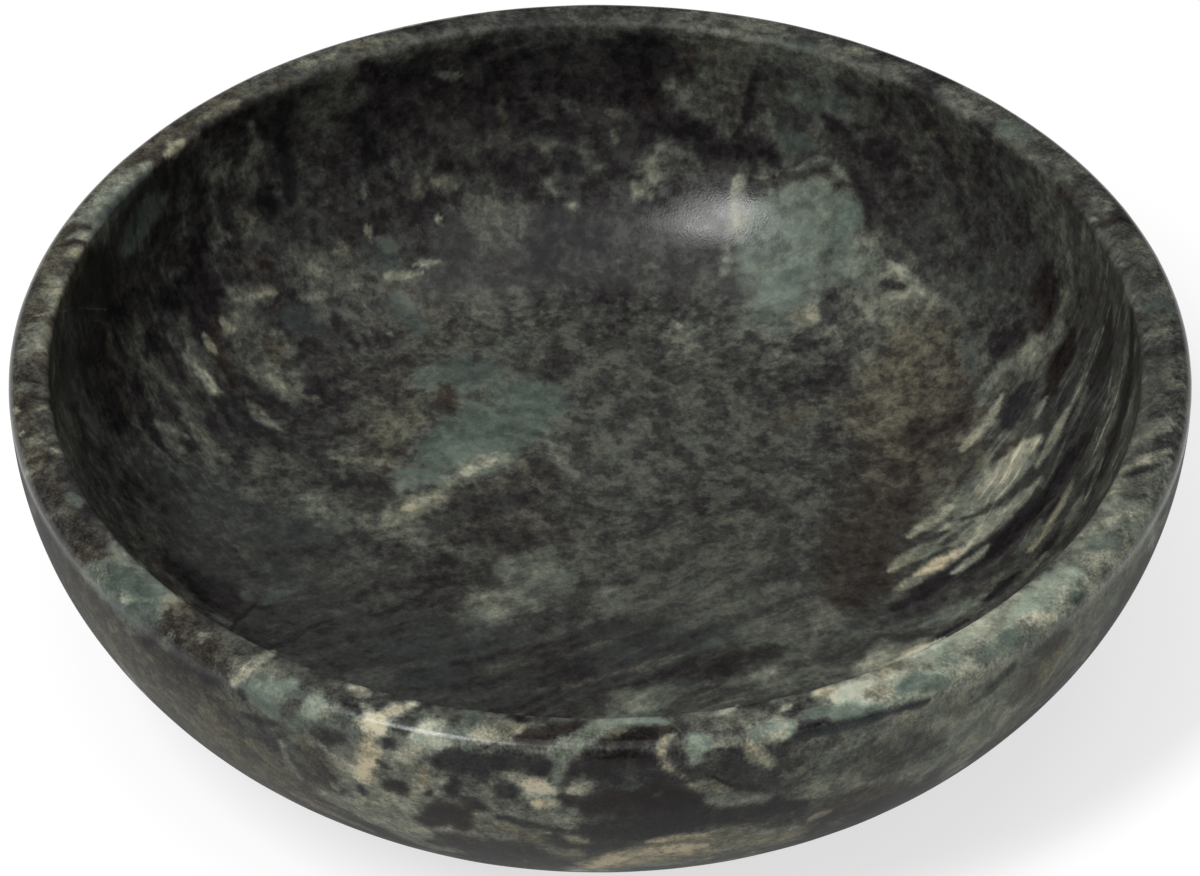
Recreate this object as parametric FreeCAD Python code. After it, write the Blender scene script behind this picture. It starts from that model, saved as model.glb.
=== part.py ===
"""A turned stone ring dish on four stick-on feet.

The bowl is one piece of green marble, turned on a lathe inside and out and ground flat underneath.
Four moulded silicone feet keep the stone off the table, each held by a disc of adhesive film.
Millimetres, +Z up. The origin is on the table, under the middle of the bowl.
"""

import FreeCAD, Part
import math
import os

# Bowl, outside
RIM_DIAMETER = 127.0
BOWL_HEIGHT = 36.0
BELLY_DROP = 2.6          # the widest circle lies this far below the rim
BASE_GRIND = 2.1          # depth ground off the round belly to make the flat base
BASE_EDGE_RADIUS = 6.0

# Bowl, rim
RIM_WIDTH = 5.0           # from the inner wall to the widest circle
RIM_OUTER_RADIUS = 1.8
RIM_INNER_RADIUS = 0.8

# Bowl, inside
FLOOR_THICKNESS = 6.0     # stone under the lowest point of the hollow
FLOOR_DISH = 2.0          # the hollow's floor sinks this far below its wall's round

# Feet
FOOT_TOP_DIAMETER = 8.5
FOOT_SOLE_DIAMETER = 7.2
FOOT_HEIGHT = 1.8
FOOT_EDGE_RADIUS = 0.4
FOOT_INSET = 5.0          # from the edge of the flat base to the foot
FOOT_QUARTERS = ("back_right", "back_left", "front_left", "front_right")

# Adhesive film between foot and stone
ADHESIVE_THICKNESS = 0.2
ADHESIVE_MARGIN = 0.4     # the film stops short of the foot's edge

FULL_TURN = 360.0
UP = FreeCAD.Vector(0, 0, 1)
TABLE = FreeCAD.Vector(0, 0, 0)

# Levels and radii that follow from the sizes above
base_z = FOOT_HEIGHT + ADHESIVE_THICKNESS
rim_z = base_z + BOWL_HEIGHT
widest_z = rim_z - BELLY_DROP
floor_z = base_z + FLOOR_THICKNESS
rim_radius = RIM_DIAMETER / 2
mouth_radius = rim_radius - RIM_WIDTH

belly_radius = widest_z - base_z + BASE_GRIND
belly_centre_r = rim_radius - belly_radius
wall_radius = widest_z - floor_z - FLOOR_DISH
wall_centre_r = mouth_radius - wall_radius


def point(r, z):
    """A point of a turned profile, at radius r and height z."""
    return FreeCAD.Vector(r, 0, z)


def on_arc(centre, radius, angle):
    """The point of an arc at an angle, counted up from the outward direction."""
    return centre + point(radius * math.cos(angle), radius * math.sin(angle))


def arc(centre, radius, start, end):
    """An arc from one angle to another."""
    middle = on_arc(centre, radius, (start + end) / 2)
    return Part.Arc(on_arc(centre, radius, start), middle, on_arc(centre, radius, end)).toShape()


def line(start, end):
    return Part.LineSegment(start, end).toShape()


def turned(edges):
    """The solid that a closed half-profile sweeps in a full turn about the Z axis."""
    return Part.Face(Part.Wire(edges)).revolve(TABLE, UP, FULL_TURN)


def belly_rounding_centre(radius, z):
    """Centre, at height z, of a rounding that runs into the belly's arc from inside."""
    rise = z - widest_z
    reach = math.sqrt((belly_radius - radius) ** 2 - rise ** 2)
    return point(belly_centre_r + reach, z)


def angle_from(start, end):
    """Angle of the line between two profile points, counted up from the outward direction."""
    return math.atan2(end.z - start.z, end.x - start.x)


base_rounding = belly_rounding_centre(BASE_EDGE_RADIUS, base_z + BASE_EDGE_RADIUS)
rim_rounding = belly_rounding_centre(RIM_OUTER_RADIUS, rim_z - RIM_OUTER_RADIUS)
foot_circle_radius = base_rounding.x - FOOT_INSET - FOOT_TOP_DIAMETER / 2


def bowl():
    """Round belly, flat land on the rim, and a hollow whose wall runs smoothly into a dished floor."""
    belly = point(belly_centre_r, widest_z)
    base_angle = angle_from(belly, base_rounding)
    rim_angle = angle_from(belly, rim_rounding)
    lip = point(mouth_radius + RIM_INNER_RADIUS, rim_z - RIM_INNER_RADIUS)
    wall = point(wall_centre_r, widest_z)

    # The floor is a wide arc about a point on the axis, tangent to the wall's arc
    wall_drop = widest_z - floor_z
    floor_radius = (wall_centre_r ** 2 + wall_drop ** 2 - wall_radius ** 2) / (2 * FLOOR_DISH)
    floor = point(0, floor_z + floor_radius)
    floor_angle = angle_from(floor, wall)

    down, outward, upward, inward = -math.pi / 2, 0.0, math.pi / 2, math.pi
    axis_base = point(0, base_z)
    return turned([
        line(axis_base, on_arc(base_rounding, BASE_EDGE_RADIUS, down)),
        arc(base_rounding, BASE_EDGE_RADIUS, down, base_angle),
        arc(belly, belly_radius, base_angle, rim_angle),
        arc(rim_rounding, RIM_OUTER_RADIUS, rim_angle, upward),
        line(on_arc(rim_rounding, RIM_OUTER_RADIUS, upward), on_arc(lip, RIM_INNER_RADIUS, upward)),
        arc(lip, RIM_INNER_RADIUS, upward, inward),
        line(on_arc(lip, RIM_INNER_RADIUS, inward), on_arc(wall, wall_radius, outward)),
        arc(wall, wall_radius, outward, floor_angle),
        arc(floor, floor_radius, floor_angle, down),
        line(on_arc(floor, floor_radius, down), axis_base),
    ])


def foot():
    """A moulded foot on the axis: a low plug that tapers to a rounded sole."""
    plug = Part.makeCone(FOOT_SOLE_DIAMETER / 2, FOOT_TOP_DIAMETER / 2, FOOT_HEIGHT)
    sole_edge = [edge for edge in plug.Edges if edge.BoundBox.ZMax < FOOT_EDGE_RADIUS]
    return plug.makeFillet(FOOT_EDGE_RADIUS, sole_edge)


def adhesive_disc():
    """The film on top of a foot, on the axis."""
    radius = FOOT_TOP_DIAMETER / 2 - ADHESIVE_MARGIN
    return Part.makeCylinder(radius, ADHESIVE_THICKNESS, point(0, FOOT_HEIGHT))


def at_quarter(shape, index):
    """The shape moved out to the middle of one quarter of the base, counted from back right."""
    quarter = FULL_TURN / len(FOOT_QUARTERS)
    moved = shape.copy()
    moved.translate(point(foot_circle_radius, 0))
    moved.rotate(TABLE, UP, quarter * index + quarter / 2)
    return moved


def main():
    nodes = {"bowl": bowl()}
    for index, quarter in enumerate(FOOT_QUARTERS):
        nodes["foot_" + quarter] = at_quarter(foot(), index)
    discs = [at_quarter(adhesive_disc(), index) for index in range(len(FOOT_QUARTERS))]
    nodes["adhesive_discs"] = Part.makeCompound(discs)

    os.makedirs("parts", exist_ok=True)
    for name, shape in nodes.items():
        shape.exportStep(f"parts/{name}.step")


main()
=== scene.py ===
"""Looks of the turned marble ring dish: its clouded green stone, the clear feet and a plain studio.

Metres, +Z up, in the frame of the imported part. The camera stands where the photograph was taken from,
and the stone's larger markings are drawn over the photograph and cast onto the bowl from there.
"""

import math

import bpy
import numpy as np
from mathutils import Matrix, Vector, noise


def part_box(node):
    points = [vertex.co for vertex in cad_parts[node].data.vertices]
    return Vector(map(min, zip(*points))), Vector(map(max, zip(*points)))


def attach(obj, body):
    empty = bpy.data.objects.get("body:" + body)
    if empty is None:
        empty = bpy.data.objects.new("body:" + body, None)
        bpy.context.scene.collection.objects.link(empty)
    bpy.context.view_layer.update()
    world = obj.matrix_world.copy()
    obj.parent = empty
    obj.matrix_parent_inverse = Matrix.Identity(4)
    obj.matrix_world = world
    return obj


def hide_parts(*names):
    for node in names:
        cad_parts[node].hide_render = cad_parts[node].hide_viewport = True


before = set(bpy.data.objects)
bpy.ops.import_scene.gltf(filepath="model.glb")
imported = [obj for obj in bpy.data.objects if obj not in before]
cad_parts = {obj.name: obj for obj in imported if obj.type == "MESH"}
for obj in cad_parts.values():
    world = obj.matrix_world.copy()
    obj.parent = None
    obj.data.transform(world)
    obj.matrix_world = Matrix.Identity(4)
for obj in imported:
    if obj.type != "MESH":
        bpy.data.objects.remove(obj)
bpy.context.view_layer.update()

MM = 0.001

# Photograph and camera
PHOTO_WIDTH = 1200
PHOTO_HEIGHT = 876
FOCAL_LENGTH_PIXELS = 4116.7
CAMERA_DISTANCE = 0.430
CAMERA_ELEVATION = math.radians(40.53)
AIM_BEFORE_MIDDLE = 17.2 * MM  # the camera aims at the rim's level, this far to the front of the axis

# Bowl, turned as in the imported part
bowl_low, bowl_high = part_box("bowl")
rim_radius = bowl_high.x
rim_z = bowl_high.z
base_z = bowl_low.z
BELLY_DROP = 2.6 * MM
BASE_GRIND = 2.1 * MM
BASE_EDGE_RADIUS = 6.0 * MM
RIM_WIDTH = 5.0 * MM
RIM_OUTER_RADIUS = 1.8 * MM
RIM_INNER_RADIUS = 0.8 * MM
FLOOR_THICKNESS = 6.0 * MM
FLOOR_DISH = 2.0 * MM

# Hand finish of the bowl
HOLLOW_RUNOUT = Vector((-0.5 * MM, 0, 0))  # the hollow was turned this far off the belly's axis
WAVE_LENGTH = 22 * MM
WAVE_DEPTH = 0.10 * MM
RIPPLE_LENGTH = 5 * MM
RIPPLE_DEPTH = 0.025 * MM

# Mesh of the bowl
SECTORS = 900
RING_SPACING = 0.42 * MM
EDGE_RING_SPACING = 0.2 * MM

# Stone tones, from 0 for black to 1 for cream, and hues, from brown through plain grey to teal
BLACK = 0.06
DARK = 0.13
MURKY = 0.21
DIM = 0.29
GREY = 0.37
ASHEN = 0.45
PALE = 0.54
LIGHT = 0.64
BRIGHT = 0.75
CREAM = 0.87
BROWN = -1.0
OLIVE = -0.5
PLAIN = 0.0
SLATE = 0.5
TEAL = 1.0

# Markings in the order in which they are laid on, soft washes first, then patches. Each has a tone, a hue,
# a half-width in millimetres, and the x and y of the photograph pixels along its line.
WASHES = (
    (DARK, PLAIN, 9, 170, 180, 110, 260, 90, 340, 110, 440),
    (0.18, PLAIN, 6, 290, 310, 260, 380, 220, 440),
    (0.11, PLAIN, 9, 260, 110, 400, 80, 560, 60, 700, 90),
    (0.18, PLAIN, 7, 320, 220, 500, 230, 640, 210),
    (MURKY, PLAIN, 9, 780, 90, 930, 170, 1030, 270),
    (0.36, BROWN, 9, 930, 350, 900, 470),
    (MURKY, PLAIN, 7, 1090, 330, 1050, 470, 940, 590),
    (0.22, SLATE, 7, 130, 470, 210, 520, 310, 545),
    (DIM, OLIVE, 10, 420, 330, 440, 450, 560, 520),
    (DIM, PLAIN, 10, 560, 320, 640, 440, 600, 560),
    (DIM, PLAIN, 10, 760, 420, 800, 520, 640, 640),
    (MURKY, SLATE, 8, 200, 560, 340, 640, 500, 670, 700, 650),
    (0.30, BROWN, 3.4, 60, 520, 30, 450, 27, 360, 55, 270, 120, 170, 200, 112, 260, 82),
    (GREY, PLAIN, 3.4, 260, 82, 330, 58, 410, 40),
    (0.29, PLAIN, 3.4, 440, 34, 540, 20, 640, 18),
    (GREY, PLAIN, 3.4, 690, 22, 780, 36, 900, 72),
    (0.31, PLAIN, 3.4, 1010, 120, 1100, 210, 1155, 300, 1170, 400),
    (ASHEN, SLATE, 3.6, 1150, 460, 1122, 520, 1080, 580),
    (1.0, 0.8, 3.8, 1066, 592, 990, 640, 850, 700),
    (0.33, OLIVE, 3.6, 70, 550, 140, 630, 240, 690, 330, 715),
    (0.41, PLAIN, 3.6, 400, 725, 600, 735, 760, 725),
    (0.50, SLATE, 2.2, 330, 712, 420, 732, 520, 736),
    (0.37, BROWN, 7, 110, 640, 220, 740, 300, 790),
    (0.56, PLAIN, 7, 330, 760, 420, 800, 500, 820),
    (0.18, PLAIN, 7, 600, 800, 700, 800, 760, 800),
    (0.56, 0.4, 9, 840, 770, 960, 720, 1080, 620, 1130, 550),
    (0.24, BROWN, 6, 846, 530, 886, 500, 930, 462),
    (0.36, PLAIN, 4, 476, 216, 520, 226),
    (0.12, PLAIN, 4, 600, 142, 640, 142),
    (0.50, SLATE, 4, 850, 252, 868, 272),
    (ASHEN, PLAIN, 3.4, 950, 90, 1000, 114),
    (ASHEN, SLATE, 4, 752, 318, 800, 306),
    (ASHEN, SLATE, 4, 512, 572, 560, 578),
    (GREY, PLAIN, 4, 676, 96, 716, 104),
    (GREY, SLATE, 4, 800, 92, 836, 108),
    (DIM, PLAIN, 4, 316, 100, 352, 96),
    (LIGHT, PLAIN, 5, 350, 806, 436, 830),
    (ASHEN, TEAL, 3.2, 92, 572, 124, 592, 148, 622),
    (ASHEN, TEAL, 3, 246, 690, 286, 708, 322, 724),
    (0.18, BROWN, 6, 850, 590, 880, 548, 900, 510),
    (PALE, BROWN, 4, 600, 866, 700, 848, 790, 834),
    (LIGHT, 0.3, 5, 940, 752, 1016, 704),
    (DIM, BROWN, 2.6, 956, 474, 984, 446),
    (PALE, SLATE, 3, 84, 236, 112, 208),
    (LIGHT, OLIVE, 3, 872, 668, 914, 650),
    (MURKY, BROWN, 3.6, 150, 640, 190, 676),
    (0.40, TEAL, 4, 430, 380, 480, 372),
    (PALE, TEAL, 6.5, 768, 222, 788, 252, 780, 294),
    (0.43, TEAL, 6, 430, 460, 480, 430, 540, 396),
    (0.50, TEAL, 3, 402, 484, 450, 462, 514, 440),
)
LEFT_RIM = (
    (LIGHT, SLATE, 1.5, 92, 204, 112, 190, 145, 165),
    (GREY, TEAL, 0.9, 100, 218, 122, 202, 150, 172),
    (MURKY, BROWN, 0.7, 62, 236, 75, 226, 88, 228),
    (DARK, BROWN, 0.5, 58, 247, 74, 242, 86, 243),
    (PALE, BROWN, 0.7, 68, 255, 82, 249),
    (ASHEN, OLIVE, 1.2, 62, 272, 48, 298),
    (PALE, OLIVE, 0.6, 60, 282, 54, 304),
    (PALE, OLIVE, 0.5, 44, 315, 52, 311),
    (ASHEN, PLAIN, 1.7, 36, 328, 26, 356),
    (DIM, OLIVE, 0.9, 12, 366, 34, 370),
    (ASHEN, TEAL, 0.5, 20, 388, 30, 386),
    (MURKY, BROWN, 1.0, 14, 400, 26, 404, 36, 398),
    (PALE, OLIVE, 0.5, 38, 409, 48, 405),
    (PALE, BROWN, 0.4, 14, 409, 18, 411),
    (CREAM, PLAIN, 0.35, 20, 434, 23, 433),
    (ASHEN, OLIVE, 1.0, 36, 441, 56, 438),
    (PALE, OLIVE, 0.6, 48, 449, 62, 452),
    (DARK, BROWN, 0.45, 28, 463, 44, 457, 62, 459),
    (PALE, OLIVE, 0.45, 24, 476, 34, 471),
    (DIM, OLIVE, 1.7, 32, 496, 48, 508, 62, 524),
    (ASHEN, TEAL, 0.8, 70, 494, 78, 506),
)
LEFT_WALL = (
    (DIM, SLATE, 2.6, 66, 320, 74, 380, 94, 436),
    # Partly teal stone, partly painted light that lifts the shade on the wall below the left lip.
    (0.42, TEAL, 2.6, 126, 248, 144, 220, 162, 195),
    (DIM, TEAL, 0.7, 138, 205, 134, 232),
    (BLACK, PLAIN, 3.4, 92, 262, 112, 290, 150, 272),
    (DARK, BROWN, 1.2, 136, 275, 112, 300),
    (BLACK, PLAIN, 2.2, 196, 186, 200, 222, 198, 256),
    (DARK, PLAIN, 1.6, 155, 182, 185, 170),
    (BLACK, PLAIN, 2.6, 160, 300, 198, 292, 205, 330),
    (DARK, PLAIN, 1.2, 222, 260, 240, 282),
    (0.40, PLAIN, 3.4, 240, 318, 264, 352, 288, 390),
    (DARK, BROWN, 1.1, 214, 316, 218, 352, 236, 384),
    (PALE, OLIVE, 0.8, 222, 321, 234, 329),
    (PALE, OLIVE, 0.6, 205, 336, 214, 351),
    (LIGHT, PLAIN, 0.75, 186, 358, 202, 374, 216, 392, 232, 407),
    (0.10, PLAIN, 2.2, 140, 306, 160, 346, 180, 376),
    (DIM, BROWN, 1.0, 108, 326, 113, 370, 126, 406),
    (DIM, PLAIN, 0.8, 136, 318, 140, 350),
    (DIM, PLAIN, 0.7, 152, 356, 160, 384),
    (DARK, PLAIN, 0.9, 136, 384, 150, 430, 178, 462),
    (ASHEN, PLAIN, 0.7, 158, 424, 188, 438),
    (GREY, PLAIN, 1.2, 194, 424, 206, 446, 226, 458),
    (DARK, SLATE, 1.9, 222, 402, 246, 424, 290, 446),
    (DIM, BROWN, 1.5, 268, 344, 280, 362),
    (PALE, OLIVE, 0.7, 270, 374, 284, 390),
    (ASHEN, OLIVE, 0.8, 248, 402, 262, 416, 284, 432),
    (DIM, TEAL, 1.8, 288, 318, 322, 326),
    (ASHEN, OLIVE, 0.6, 304, 396, 322, 403),
    (MURKY, PLAIN, 1.5, 338, 320, 352, 350),
    (DARK, PLAIN, 2.6, 170, 566, 230, 600, 290, 628),
    (DIM, SLATE, 1.6, 246, 596, 292, 590),
    (GREY, TEAL, 0.7, 264, 604, 276, 594, 290, 592),
    (MURKY, SLATE, 2.0, 250, 626, 310, 620, 330, 650),
)
BACK_LEFT_RIM = (
    (LIGHT, OLIVE, 1.1, 170, 152, 182, 142),
    (BRIGHT, PLAIN, 0.35, 164, 156, 166, 155),
    (PALE, BROWN, 0.8, 206, 118, 236, 102),
    (BLACK, BROWN, 0.9, 245, 104, 257, 113),
    (DIM, BROWN, 0.8, 262, 90, 292, 78),
    (PALE, OLIVE, 0.9, 300, 66, 334, 56),
    (ASHEN, OLIVE, 0.9, 352, 46, 396, 40),
)
BACK_LEFT_WALL = (
    (BLACK, BROWN, 1.6, 206, 132, 236, 128),
    (GREY, PLAIN, 1.1, 252, 124, 256, 148, 244, 170, 234, 182),
    (BLACK, SLATE, 1.3, 282, 104, 284, 156, 292, 198),
    (DIM, PLAIN, 1.8, 316, 126, 340, 104),
    (DIM, PLAIN, 1.2, 312, 146, 336, 152),
    (BLACK, PLAIN, 0.7, 332, 119, 339, 117),
    (BLACK, PLAIN, 2.0, 366, 66, 392, 84, 418, 76),
    (BLACK, SLATE, 1.0, 366, 126, 372, 158),
    (GREY, PLAIN, 0.6, 436, 74, 458, 76),
    (BLACK, PLAIN, 1.1, 468, 86, 474, 108, 484, 136),
    (BLACK, PLAIN, 1.1, 462, 54, 492, 48),
    (BLACK, PLAIN, 1.3, 512, 104, 530, 110, 516, 138),
    (MURKY, BROWN, 0.5, 500, 84, 502, 116, 508, 140),
    (BLACK, PLAIN, 0.8, 442, 163, 450, 167),
    (GREY, PLAIN, 0.7, 320, 204, 330, 198),
    (ASHEN, OLIVE, 0.5, 363, 183, 364, 197),
    (GREY, OLIVE, 1.0, 417, 180, 422, 196),
    (GREY, OLIVE, 0.9, 434, 181, 454, 187),
    (BLACK, PLAIN, 1.4, 264, 184, 270, 214),
    (BLACK, PLAIN, 1.2, 222, 190, 226, 226),
    (GREY, OLIVE, 1.5, 240, 210, 249, 230),
    (DARK, BROWN, 0.9, 254, 258, 266, 266),
    (LIGHT, PLAIN, 0.5, 436, 218, 440, 219),
    (DIM, TEAL, 2.3, 370, 250, 396, 266),
    (PALE, OLIVE, 0.5, 366, 227, 370, 235),
    (GREY, OLIVE, 0.9, 336, 252, 346, 244),
    (PALE, OLIVE, 0.6, 386, 277, 421, 273),
    (PALE, PLAIN, 0.45, 415, 264, 441, 262),
    (PALE, OLIVE, 0.8, 250, 292, 266, 289, 275, 294),
    (ASHEN, PLAIN, 0.7, 300, 297, 330, 294, 362, 284),
)
BACK_WALL = (
    (BLACK, PLAIN, 2.0, 632, 42, 664, 58),
    (BLACK, BROWN, 1.5, 640, 96, 664, 102),
    (MURKY, BROWN, 1.0, 682, 66, 692, 52),
    (BLACK, PLAIN, 1.5, 650, 122, 712, 134),
    (DARK, PLAIN, 1.4, 536, 128, 592, 132),
    (BLACK, SLATE, 1.3, 556, 152, 580, 172),
    (DIM, PLAIN, 0.7, 564, 104, 578, 108),
    (GREY, OLIVE, 0.6, 606, 110, 622, 114),
    (GREY, OLIVE, 0.6, 612, 132, 616, 142),
    (ASHEN, OLIVE, 0.9, 650, 162, 654, 182),
    (PALE, OLIVE, 1.0, 634, 186, 648, 196),
    (PALE, PLAIN, 0.55, 566, 204, 578, 208),
    (GREY, PLAIN, 0.7, 542, 176, 556, 194),
    (0.12, PLAIN, 2.2, 492, 160, 546, 166),
    (DIM, SLATE, 2.4, 690, 200, 712, 236),
    (BLACK, PLAIN, 1.5, 700, 150, 752, 150, 776, 160),
    (0.33, OLIVE, 1.3, 712, 36, 718, 62, 722, 100, 728, 134),
    (DIM, OLIVE, 0.8, 746, 38, 742, 76, 738, 112, 731, 140),
    (DARK, PLAIN, 0.6, 754, 78, 746, 116, 734, 142),
)
BACK_RIGHT_WALL = (
    (DIM, TEAL, 1.6, 782, 128, 806, 148),
    (PALE, TEAL, 2.0, 770, 204, 800, 196, 826, 192),
    (PALE, TEAL, 2.2, 828, 196, 844, 212, 846, 236),
    (PALE, TEAL, 1.6, 756, 208, 750, 236, 748, 262),
    (ASHEN, SLATE, 0.6, 800, 168, 816, 162, 832, 164, 848, 180),
    (PALE, PLAIN, 1.1, 740, 180, 739, 202, 740, 230),
    (LIGHT, PLAIN, 0.5, 735, 178, 734, 200, 736, 224),
    (PALE, PLAIN, 0.6, 728, 250, 723, 276),
    (DARK, PLAIN, 1.1, 848, 160, 862, 184, 882, 208),
    (LIGHT, SLATE, 0.6, 888, 262, 912, 280, 921, 292),
    (MURKY, PLAIN, 0.7, 884, 282, 904, 288),
    (PALE, OLIVE, 1.5, 794, 315, 816, 316),
    (MURKY, PLAIN, 0.8, 824, 304, 830, 322),
    (ASHEN, OLIVE, 0.8, 864, 310, 870, 294),
    (ASHEN, OLIVE, 0.7, 884, 322, 896, 317),
    (ASHEN, OLIVE, 0.7, 904, 308, 910, 298),
    (GREY, SLATE, 0.7, 768, 112, 774, 134),
    (DARK, PLAIN, 1.1, 826, 118, 846, 136),
    (DARK, PLAIN, 1.8, 872, 136, 908, 182),
    (GREY, OLIVE, 0.8, 914, 158, 922, 168),
    (DIM, OLIVE, 0.7, 896, 168, 902, 196),
    (ASHEN, OLIVE, 0.5, 928, 104, 934, 110),
    (GREY, BROWN, 0.6, 928, 136, 938, 128),
    (MURKY, OLIVE, 1.6, 946, 112, 966, 182),
    (DIM, SLATE, 1.5, 1010, 160, 1016, 186),
    (DIM, SLATE, 1.2, 992, 262, 978, 286, 968, 316),
    (BLACK, BROWN, 2.5, 1050, 280, 1036, 324),
)
BACK_RIGHT_RIM = (
    (ASHEN, OLIVE, 0.8, 716, 32, 756, 36),
    (GREY, SLATE, 1.0, 776, 42, 816, 48),
    (PALE, OLIVE, 0.7, 848, 48, 872, 54),
    (ASHEN, TEAL, 1.6, 1004, 124, 1030, 136),
    (PALE, PLAIN, 0.5, 1030, 157, 1046, 160),
    (MURKY, BROWN, 1.0, 1062, 192, 1080, 196),
    (ASHEN, PLAIN, 1.0, 1094, 196, 1108, 208),
    (LIGHT, OLIVE, 0.45, 1090, 219, 1095, 220),
    (DARK, BROWN, 0.6, 1100, 227, 1118, 219, 1134, 223),
)
RIGHT_RIM = (
    (PALE, OLIVE, 0.45, 1120, 265, 1125, 263),
    (GREY, TEAL, 1.2, 1146, 309, 1164, 304, 1176, 312),
    (PALE, OLIVE, 0.4, 1136, 311, 1141, 306),
    (ASHEN, OLIVE, 0.6, 1129, 356, 1139, 343, 1155, 334, 1177, 328),
    (MURKY, PLAIN, 1.2, 1150, 353, 1182, 348),
    (PALE, OLIVE, 0.5, 1174, 381, 1185, 387),
    (ASHEN, OLIVE, 0.6, 1129, 447, 1142, 438, 1160, 431, 1177, 428),
    (MURKY, PLAIN, 0.7, 1134, 454, 1176, 440),
    (LIGHT, OLIVE, 0.6, 1121, 471, 1138, 464, 1169, 450),
    (MURKY, PLAIN, 0.5, 1124, 477, 1167, 462),
    (DIM, PLAIN, 1.8, 1130, 494, 1154, 486),
    (LIGHT, OLIVE, 0.5, 1108, 494, 1118, 485),
    (ASHEN, TEAL, 1.4, 1094, 546, 1118, 536),
    (LIGHT, PLAIN, 0.6, 1084, 534, 1108, 522, 1130, 512),
)
RIGHT_WALL = (
    (0.34, BROWN, 2.4, 900, 340, 960, 380),
    (MURKY, BROWN, 2.0, 900, 440, 960, 420),
    (DIM, SLATE, 1.2, 966, 336, 974, 372),
    (DARK, PLAIN, 2.0, 1002, 352, 1018, 330, 1034, 316),
    (ASHEN, SLATE, 0.9, 980, 402, 986, 386, 1000, 370, 1014, 360),
    (LIGHT, OLIVE, 0.75, 962, 449, 986, 425, 1002, 396),
    (DARK, SLATE, 1.5, 1008, 424, 1018, 398, 1034, 386),
    (BLACK, BROWN, 1.5, 1044, 404, 1060, 368, 1072, 334),
    (MURKY, BROWN, 0.9, 1000, 456, 1022, 440),
    (PALE, PLAIN, 0.55, 1036, 416, 1045, 398),
    (DARK, PLAIN, 1.6, 1110, 310, 1104, 370, 1086, 440),
    (BLACK, PLAIN, 1.5, 1132, 316, 1130, 372, 1116, 434, 1090, 488),
    (ASHEN, PLAIN, 0.6, 1098, 332, 1088, 362, 1079, 388, 1068, 412),
    (ASHEN, PLAIN, 0.55, 1087, 388, 1079, 410, 1068, 430),
    (LIGHT, OLIVE, 0.75, 1067, 412, 1048, 447, 1037, 466),
    (GREY, PLAIN, 0.45, 1106, 442, 1096, 474, 1084, 504),
    (BLACK, PLAIN, 1.5, 1082, 440, 1060, 476, 1036, 508, 1006, 538, 972, 566, 934, 588, 896, 608),
    (PALE, PLAIN, 2.4, 926, 556, 962, 528, 998, 490, 1030, 455),
    (BRIGHT, OLIVE, 1.5, 982, 487, 1010, 464, 1036, 442),
    (LIGHT, PLAIN, 1.1, 956, 556, 984, 531, 1012, 508, 1038, 482),
    (MURKY, PLAIN, 0.55, 962, 520, 990, 508, 1014, 490, 1032, 468),
    (DIM, SLATE, 0.6, 944, 544, 972, 522),
    (LIGHT, OLIVE, 0.9, 910, 536, 928, 524, 949, 508),
    (LIGHT, PLAIN, 0.6, 940, 533, 956, 521),
    (MURKY, OLIVE, 0.5, 896, 550, 926, 539, 948, 531),
    (PALE, OLIVE, 0.8, 890, 570, 912, 555, 932, 543),
    (MURKY, PLAIN, 0.45, 902, 572, 924, 561, 948, 548),
    (CREAM, BROWN, 1.0, 918, 575, 960, 551),
    (LIGHT, PLAIN, 0.7, 952, 573, 974, 559, 988, 546),
    (PALE, OLIVE, 0.7, 898, 589, 922, 577),
    (LIGHT, BROWN, 0.65, 1074, 480, 1054, 516, 1043, 534, 1030, 550),
    (GREY, SLATE, 0.8, 1018, 552, 1030, 538, 1040, 522),
    (BLACK, PLAIN, 0.6, 1038, 558, 1052, 541, 1064, 522),
    (BLACK, PLAIN, 0.8, 986, 600, 1018, 574),
    (ASHEN, OLIVE, 0.6, 1016, 584, 1046, 554),
    (GREY, OLIVE, 0.9, 972, 597, 998, 576),
    (ASHEN, SLATE, 0.9, 924, 626, 952, 612, 974, 600),
    (MURKY, OLIVE, 0.9, 884, 622, 918, 608, 944, 596),
    (ASHEN, OLIVE, 0.7, 892, 652, 930, 638),
    (BLACK, PLAIN, 0.4, 938, 637, 968, 620),
    (MURKY, PLAIN, 1.0, 840, 650, 880, 634),
)
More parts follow.
